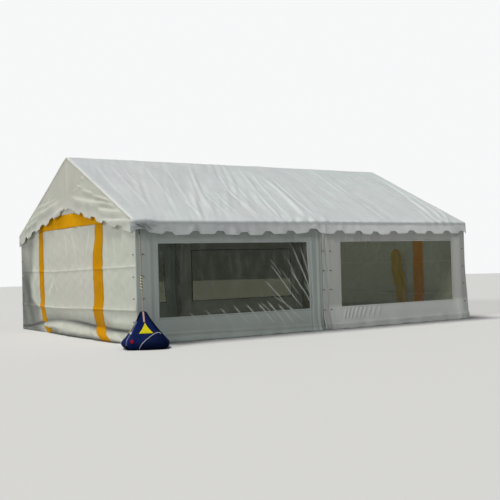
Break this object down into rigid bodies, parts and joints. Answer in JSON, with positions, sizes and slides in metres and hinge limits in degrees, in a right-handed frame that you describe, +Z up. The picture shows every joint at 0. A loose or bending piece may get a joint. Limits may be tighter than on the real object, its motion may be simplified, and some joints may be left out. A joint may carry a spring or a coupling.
{
  "type": "frame marquee",
  "caption": "Closed rectangular marquee on a steel tube frame, with a pitched scalloped cover, clear window walls, a zipped door in each end and a pyramid ballast bag.",
  "frame": {"origin": "on the ground, at the centre of the underside of the foot plate of the front left post", "axes": "+X along the tent's length from the left end to the right end, +Y across it from the front wall to the back wall, +Z up"},
  "size_m": [8.5233, 6.8733, 3.5399],
  "materials": {
    "galvanised_steel": "dull zinc",
    "tent_cloth": "coated polyester, light grey-white, low sheen",
    "window_film": "clear flexible film",
    "yellow_band": "golden yellow coated polyester",
    "blue_bag_cloth": "navy coated polyester",
    "red_cap": "moulded",
    "rope": "laid rope",
    "brass": "dull"
  },
  "bodies": {
    "root": {"leg_front_left": "galvanised_steel", "leg_front_middle": "galvanised_steel", "leg_front_right": "galvanised_steel", "leg_back_left": "galvanised_steel", "leg_back_middle": "galvanised_steel", "leg_back_right": "galvanised_steel", "eave_joint_front_left": "galvanised_steel", "eave_joint_front_middle": "galvanised_steel", "eave_joint_front_right": "galvanised_steel", "eave_joint_back_left": "galvanised_steel", "eave_joint_back_middle": "galvanised_steel", "eave_joint_back_right": "galvanised_steel", "rafter_front_left": "galvanised_steel", "rafter_front_middle": "galvanised_steel", "rafter_front_right": "galvanised_steel", "rafter_back_left": "galvanised_steel", "rafter_back_middle": "galvanised_steel", "rafter_back_right": "galvanised_steel", "ridge_joint_left": "galvanised_steel", "ridge_joint_middle": "galvanised_steel", "ridge_joint_right": "galvanised_steel", "eave_rail_front_left": "galvanised_steel", "eave_rail_front_right": "galvanised_steel", "eave_rail_back_left": "galvanised_steel", "eave_rail_back_right": "galvanised_steel", "ridge_beam_left": "galvanised_steel", "ridge_beam_right": "galvanised_steel", "roof_front": "tent_cloth", "roof_back": "tent_cloth", "valance_front": "tent_cloth", "valance_back": "tent_cloth", "gable_flap_left": "tent_cloth", "gable_flap_right": "tent_cloth", "wall_front_left": "tent_cloth", "wall_front_right": "tent_cloth", "wall_back_left": "tent_cloth", "wall_back_right": "tent_cloth", "window_front_left": "window_film", "window_front_right": "window_film", "window_back_left": "window_film", "window_back_right": "window_film", "end_wall_left": "tent_cloth", "end_wall_right": "tent_cloth", "door_curtain_left": "tent_cloth", "door_curtain_right": "tent_cloth", "door_band_left": "yellow_band", "door_band_right": "yellow_band", "ballast_bag": "blue_bag_cloth", "ballast_filler_cap": "red_cap", "tie_rope": "rope", "corner_eyelet": "brass"}
  },
  "joints": []
}
